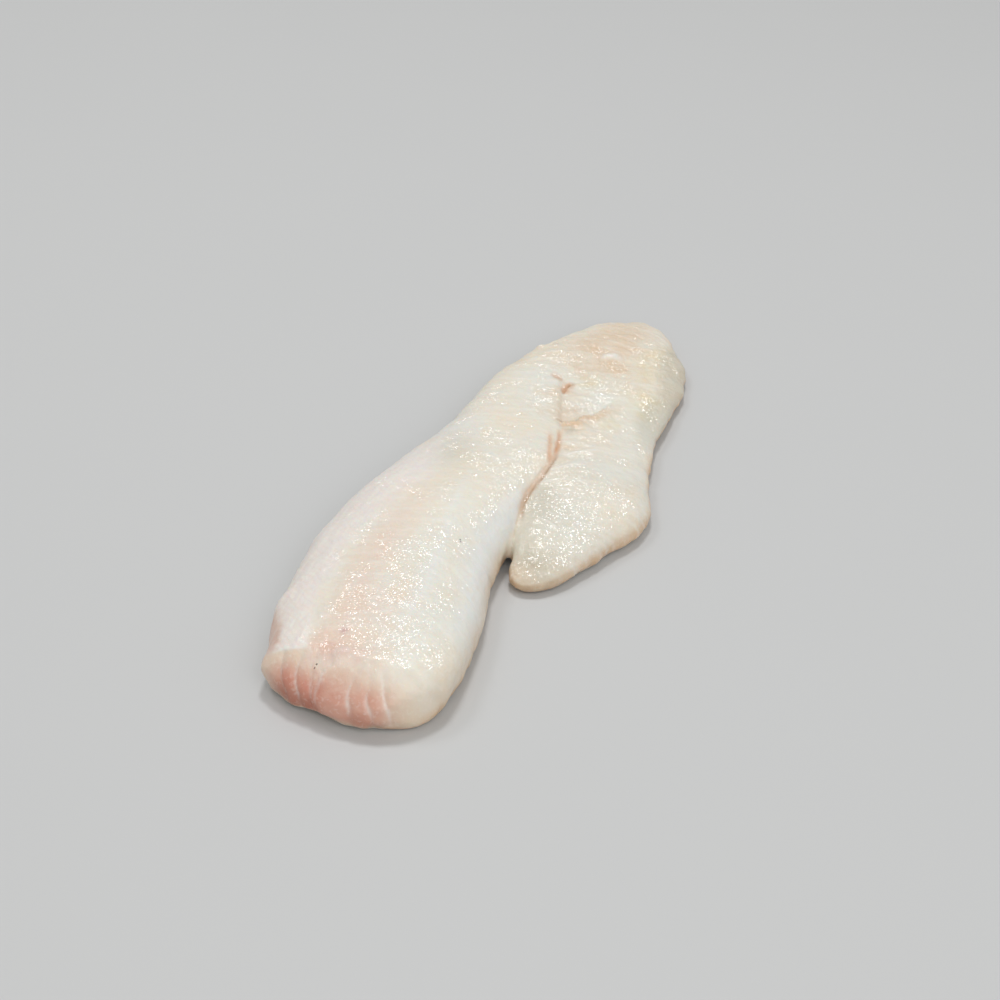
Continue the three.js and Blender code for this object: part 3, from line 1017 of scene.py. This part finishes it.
def flesh_colour(tree, colours, patterns):
    """The flesh's colour: each coat laid over those before it, by its share."""
    mask, steps, cloudy, mottle = tree.mask, tree.steps, patterns.cloudy, patterns.mottle
    silver = tree.mix(patterns.long_fibres * 0.8, colours.silver, colours.white)
    ruddy = steps(cloudy, (0.3, 0), (0.75, 1)) * 0.35
    ruddy = tree.mix(ruddy, colours.pink, colours.pale_pink)
    ruddy = tree.mix(patterns.fibres * 0.2, ruddy, colours.pale_pink)
    coats = [
        (steps(patterns.broad, (0.38, 0), (0.6, 1)), colours.cool),
        (steps(cloudy, (0.5, 0), (0.72, 1)) * 0.5, colours.warm),
        (mask("tail") * (0.1 + 0.3 * cloudy), colours.warm),
        (mask("tail") * (cloudy * 0.5 - 0.15), colours.peach),
        (mask("cool") * 0.7, colours.cool),
        # Painted light on the loin's right slope.
        (mask("side") * 0.7, colours.clear),
        (mask("warm") * 0.5, colours.warm),
        # A painted sheen on a wet patch by the arris.
        (mask("sheen") * 0.7, colours.clear),
        # Peach patches, some of them painted shade.
        (mask("bumps") * (0.1 + 0.55 * cloudy), colours.peach),
        (mask("blush") * (0.25 + 0.5 * cloudy), colours.pale_pink),
        (mask("lateral") * 0.35, colours.clear),
        (mask("clear") * 0.3, colours.warm),
        (mask("brim") * 0.55, colours.peach),
        (mask("yellow") * (0.2 + 0.6 * cloudy), colours.yellow),
        (steps(mottle, (0.5, 0), (0.7, 1)) * 0.25, colours.cool),
        (steps(mottle, (0.3, 1), (0.5, 0)) * 0.25, colours.warm),
        (patterns.fibres * 0.1, colours.white),
        (mask("walls") * 0.22, colours.white),
        (mask("band") * 0.7, silver),
        # The tail's rim, painted grey partly as shade.
        (mask("silver_rim") * 0.5, colours.grey),
        (mask("creases") * 0.12, colours.pale_pink),
        (mask("torn") * (0.15 + 0.5 * cloudy), colours.pink),
        (mask("step") * 0.5, colours.white),
        # Painted shade on the lower rims.
        (mask("rim") * (0.65 + 0.4 * cloudy), colours.peach),
        (mask("face") * 0.6, colours.warm),
        (mask("cream") * 0.15, colours.peach),
        (mask("pink") * 0.9, ruddy),
        # Painted shade at the foot of the cut face.
        (mask("deep") * 0.75, colours.shaded_pink),
        # A painted highlight along the arris.
        (mask("brow") * 0.3, colours.white),
        (mask("septa") * 0.5, colours.white),
        # Painted highlights on the tail's wet ridge, and partly on the flap's folds.
        (mask("fans") * 0.75, colours.white),
        # Grey flesh, and painted shade where the loin shades the flap.
        (mask("grey") * 0.6, colours.grey),
        (mask("hollow") * 0.3, colours.peach),
        # Amber, partly painted shade in the slit's crease.
        (mask("amber"), colours.amber),
        # Brown, partly painted shade in the slit, the crevice and under the fold's lip.
        (mask("brown") * 0.85, colours.brown),
        # A painted shaded line along the foot.
        (mask("edge_line") * 0.6, colours.amber),
        (mask("bruise") * 0.4, colours.wine),
        (steps(patterns.grain, (0.55, 0), (0.8, 1)) * 0.3, colours.white),
    ]
    flat = tree.vector(patterns.x, patterns.y, 0)
    for x, y in plan(SPECKS) * MM:
        size = tree.distance(flat, (x, y, 0)) + 0.0006 * patterns.grain
        coats.append((steps(size * 1000, (0.45, 1), (0.7, 0)) * 0.85, colours.speck))
    shade = colours.cream
    for share, coat in coats:
        shade = tree.mix(share, shade, coat)
    return shade


def inner_flesh(tree, patterns, shade):
    """The damp, faintly translucent flesh under the water."""
    tail = tree.mask("tail")
    relief = patterns.pores * (0.25 + 0.25 * tail) + patterns.strands * (0.06 - 0.03 * tail)
    damp = tree.add("ShaderNodeBump", {}, {"Distance": 0.0006, "Height": relief})
    return tree.add("ShaderNodeBsdfPrincipled", {}, {
        "Base Color": shade,
        "Roughness": tree.steps(patterns.cloudy, (0.35, 0.34), (0.65, 0.5)),
        "Normal": damp.outputs[0],
        "IOR": 1.4,
        "Subsurface Weight": 0.4,
        "Subsurface Scale": 0.002,
        "Subsurface Radius": (1.0, 0.62, 0.42),
    })


def water_film(tree, patterns, shade, drop):
    """Smooth water, whose small facets glint where they lean towards the light."""
    mask, cloudy = tree.mask, patterns.cloudy
    grains = tree.vector(patterns.x, patterns.y * 0.8, patterns.z * 0.8)
    own, lengthwise, sideways = tree.facets(grains, 1 / drop)
    leaning = own + lengthwise * mask("lean") + sideways * mask("lean_across")
    beaded = tree.steps(cloudy + mask("wet") * 0.35, (0.46, 0.15), (0.57, 1))
    ripples = leaning * beaded + patterns.pores * 0.0001
    beads = tree.add("ShaderNodeBump", {}, {"Distance": 1.0, "Height": ripples})
    return tree.add("ShaderNodeBsdfPrincipled", {}, {
        "Base Color": shade,
        "Roughness": 0.12,
        "Normal": beads.outputs[0],
        "IOR": 1.45,
        "Specular IOR Level": 1.0,
    })


def flesh_material(colours, sizes):
    """Faintly translucent flesh under a broken film of water, coloured by the mesh's masks."""
    material = bpy.data.materials.new("Raw cod flesh")
    tree = Tree(material)
    patterns = flesh_patterns(tree)
    shade = flesh_colour(tree, colours, patterns)
    inner = inner_flesh(tree, patterns, shade)
    film = water_film(tree, patterns, shade, sizes.drop)
    wet = tree.steps(patterns.cloudy + tree.mask("wet") * 0.25, (0.4, 0.15), (0.58, 0.38))
    wet = wet * (1 - 0.7 * tree.mask("face")) * (1 - 0.5 * tree.mask("band"))
    layers = {0: wet, 1: inner.outputs[0], 2: film.outputs[0]}
    surface = tree.add("ShaderNodeMixShader", {}, layers)
    tree.add("ShaderNodeOutputMaterial", {}, {"Surface": surface.outputs[0]})
    return material


def floor_material(settings):
    """A plain pale floor with a faint unevenness."""
    material = bpy.data.materials.new("Pale floor")
    tree = Tree(material)
    where = tree.add("ShaderNodeTexCoord").outputs["Object"]
    patches = tree.noise(where, 9, 2)
    shade = tree.mix(patches * 0.06, settings.floor, settings.floor_patches)
    shader = tree.add("ShaderNodeBsdfPrincipled", {}, {"Base Color": shade, "Roughness": 0.6})
    tree.add("ShaderNodeOutputMaterial", {}, {"Surface": shader.outputs[0]})
    return material


# ---------------------------------------------------------------- operators


# The floor lies this far below the fillet, in metres, so that the two never coincide.
FLOOR_GAP = 0.0002

# Each area light's size and place, in metres. They all point at the origin.
LIGHTS = {
    "key": (0.32, (0.52, 0.18, 1.6)),
    "side": (0.4, (0.2, 0.85, 1.4)),
    "fill": (1.6, (-1.35, -0.9, 1.35)),
    "low": (1.0, (-0.1, -1.2, 0.75)),
}

# The camera looks at the target from its azimuth and elevation, in degrees, and its distance
# in metres, and is rolled a little about its own axis.
CAMERA_TARGET = (0.0008, 0.0059, 0)
CAMERA_AZIMUTH = -70
CAMERA_ELEVATION = 32.07
CAMERA_ROLL = 1.316
CAMERA_DISTANCE = 0.8676
CAMERA_LENS = 83.28


def link(obj):
    """Puts an object into the scene."""
    bpy.context.scene.collection.objects.link(obj)
    return obj


def merged_lobes(cell):
    """The loin and the flap as one even surface in millimetres, run together in the tail."""
    shells = mesh_from([lobe_shell(LOIN), lobe_shell(FLAP)], "Fillet flesh")
    mesh = evenly_remeshed(shells, cell)
    points, edges = get_points(mesh), get_edges(mesh)
    merging = ramp(place_at(points[:, 0]), *TAIL_MERGE) * ramp(points[:, 2], *TAIL_MERGE_HEIGHT)
    points = smoothed(points, edges, SMOOTHING_ROUNDS)
    points = smoothed(points, edges, MERGING_ROUNDS, merging)
    set_points(mesh, points)
    return mesh


def sculpt(mesh, strength):
    """Raises the relief, stands the fillet on the origin in metres and stores the masks."""
    flesh = Surface(get_points(mesh), get_normals(mesh), get_edges(mesh))
    relief, masks = sculpted(flesh)
    points = flesh.points + flesh.normals * (relief * strength)[:, None]
    middle = (points.min(0) + points.max(0)) / 2
    points[:, :2] -= middle[:2]
    points[:, 2] = np.maximum(points[:, 2], 0)
    set_points(mesh, points * MM)
    for name, values in masks.items():
        mesh.attributes.new(name, "FLOAT", "POINT").data.foreach_set("value", values)


class FILLET_OT_flesh(bpy.types.Operator):
    """Makes the fillet's flesh in place of the plain solid"""

    bl_idname = "fillet.flesh"
    bl_label = "Flesh"

    def execute(self, context):
        sizes = context.scene.fillet_sizes
        mesh = merged_lobes(sizes.cell / MM)
        sculpt(mesh, sizes.relief)
        mesh.shade_smooth()
        mesh.materials.clear()
        mesh.materials.append(flesh_material(context.scene.fillet_colours, sizes))
        piece = link(bpy.data.objects.new("fillet_flesh", mesh))
        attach(piece, "root")
        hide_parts("fillet")
        return {"FINISHED"}


class FILLET_OT_stage(bpy.types.Operator):
    """Makes the floor, the lights and the camera"""

    bl_idname = "fillet.stage"
    bl_label = "Stage"

    def execute(self, context):
        settings = context.scene.fillet_stage
        self.make_floor(settings)
        self.make_lights(settings)
        self.make_surround(context, settings)
        self.make_camera(context)
        context.scene.view_settings.view_transform = "Standard"
        return {"FINISHED"}

    @staticmethod
    def make_floor(settings):
        half = settings.floor_size / 2
        corners = [(-half, -half, 0), (half, -half, 0), (half, half, 0), (-half, half, 0)]
        mesh = bpy.data.meshes.new("floor")
        mesh.from_pydata(corners, [], [(0, 1, 2, 3)])
        mesh.materials.append(floor_material(settings))
        floor = link(bpy.data.objects.new("floor", mesh))
        floor.location.z = CAD_LOW.z - FLOOR_GAP

    @staticmethod
    def make_lights(settings):
        for name, (size, place) in LIGHTS.items():
            light = bpy.data.lights.new(name, "AREA")
            light.energy = getattr(settings, name + "_power")
            light.size = size
            lamp = link(bpy.data.objects.new(name, light))
            lamp.location = place
            lamp.rotation_euler = Vector(place).to_track_quat("Z", "Y").to_euler()

    @staticmethod
    def make_surround(context, settings):
        world = bpy.data.worlds.new("surround")
        world.use_nodes = True
        background = world.node_tree.nodes["Background"]
        background.inputs["Color"].default_value = settings.surround
        background.inputs["Strength"].default_value = settings.surround_strength
        context.scene.world = world

    @staticmethod
    def make_camera(context):
        azimuth, elevation = math.radians(CAMERA_AZIMUTH), math.radians(CAMERA_ELEVATION)
        back = Vector((
            math.sin(azimuth) * math.cos(elevation),
            -math.cos(azimuth) * math.cos(elevation),
            math.sin(elevation),
        ))
        data = bpy.data.cameras.new("camera")
        data.lens = CAMERA_LENS
        data.clip_start = 0.05
        camera = link(bpy.data.objects.new("camera", data))
        camera.location = Vector(CAMERA_TARGET) + back * CAMERA_DISTANCE
        aim = (-back).to_track_quat("-Z", "Y").to_matrix()
        roll = Matrix.Rotation(math.radians(CAMERA_ROLL), 3, "Z")
        camera.rotation_euler = (aim @ roll).to_euler()
        context.scene.camera = camera


class FILLET_PT_panel(bpy.types.Panel):
    """Lists the fillet's settings and pieces"""

    bl_idname = "FILLET_PT_panel"
    bl_label = "Cod Fillet"
    bl_space_type = "VIEW_3D"
    bl_region_type = "UI"
    bl_category = "Fillet"

    def draw(self, context):
        layout = self.layout
        for group in (context.scene.fillet_sizes, context.scene.fillet_colours,
                      context.scene.fillet_stage):
            column = layout.column()
            for name in group.__annotations__:
                column.prop(group, name)
        for operator in OPERATORS:
            layout.operator(operator.bl_idname)


SETTINGS = {
    "fillet_sizes": FilletSizes,
    "fillet_colours": FilletColours,
    "fillet_stage": StageSettings,
}
OPERATORS = (FILLET_OT_flesh, FILLET_OT_stage)
CLASSES = (*SETTINGS.values(), *OPERATORS, FILLET_PT_panel)


def register():
    """Registers the classes and their settings."""
    for cls in CLASSES:
        bpy.utils.register_class(cls)
    for name, group in SETTINGS.items():
        setattr(bpy.types.Scene, name, PointerProperty(type=group))


def unregister():
    """Takes the settings and classes away again."""
    for name in SETTINGS:
        delattr(bpy.types.Scene, name)
    for cls in reversed(CLASSES):
        bpy.utils.unregister_class(cls)


def main():
    """Makes every piece and the stage."""
    register()
    bpy.ops.fillet.flesh()
    bpy.ops.fillet.stage()


if __name__ == "__main__":
    main()
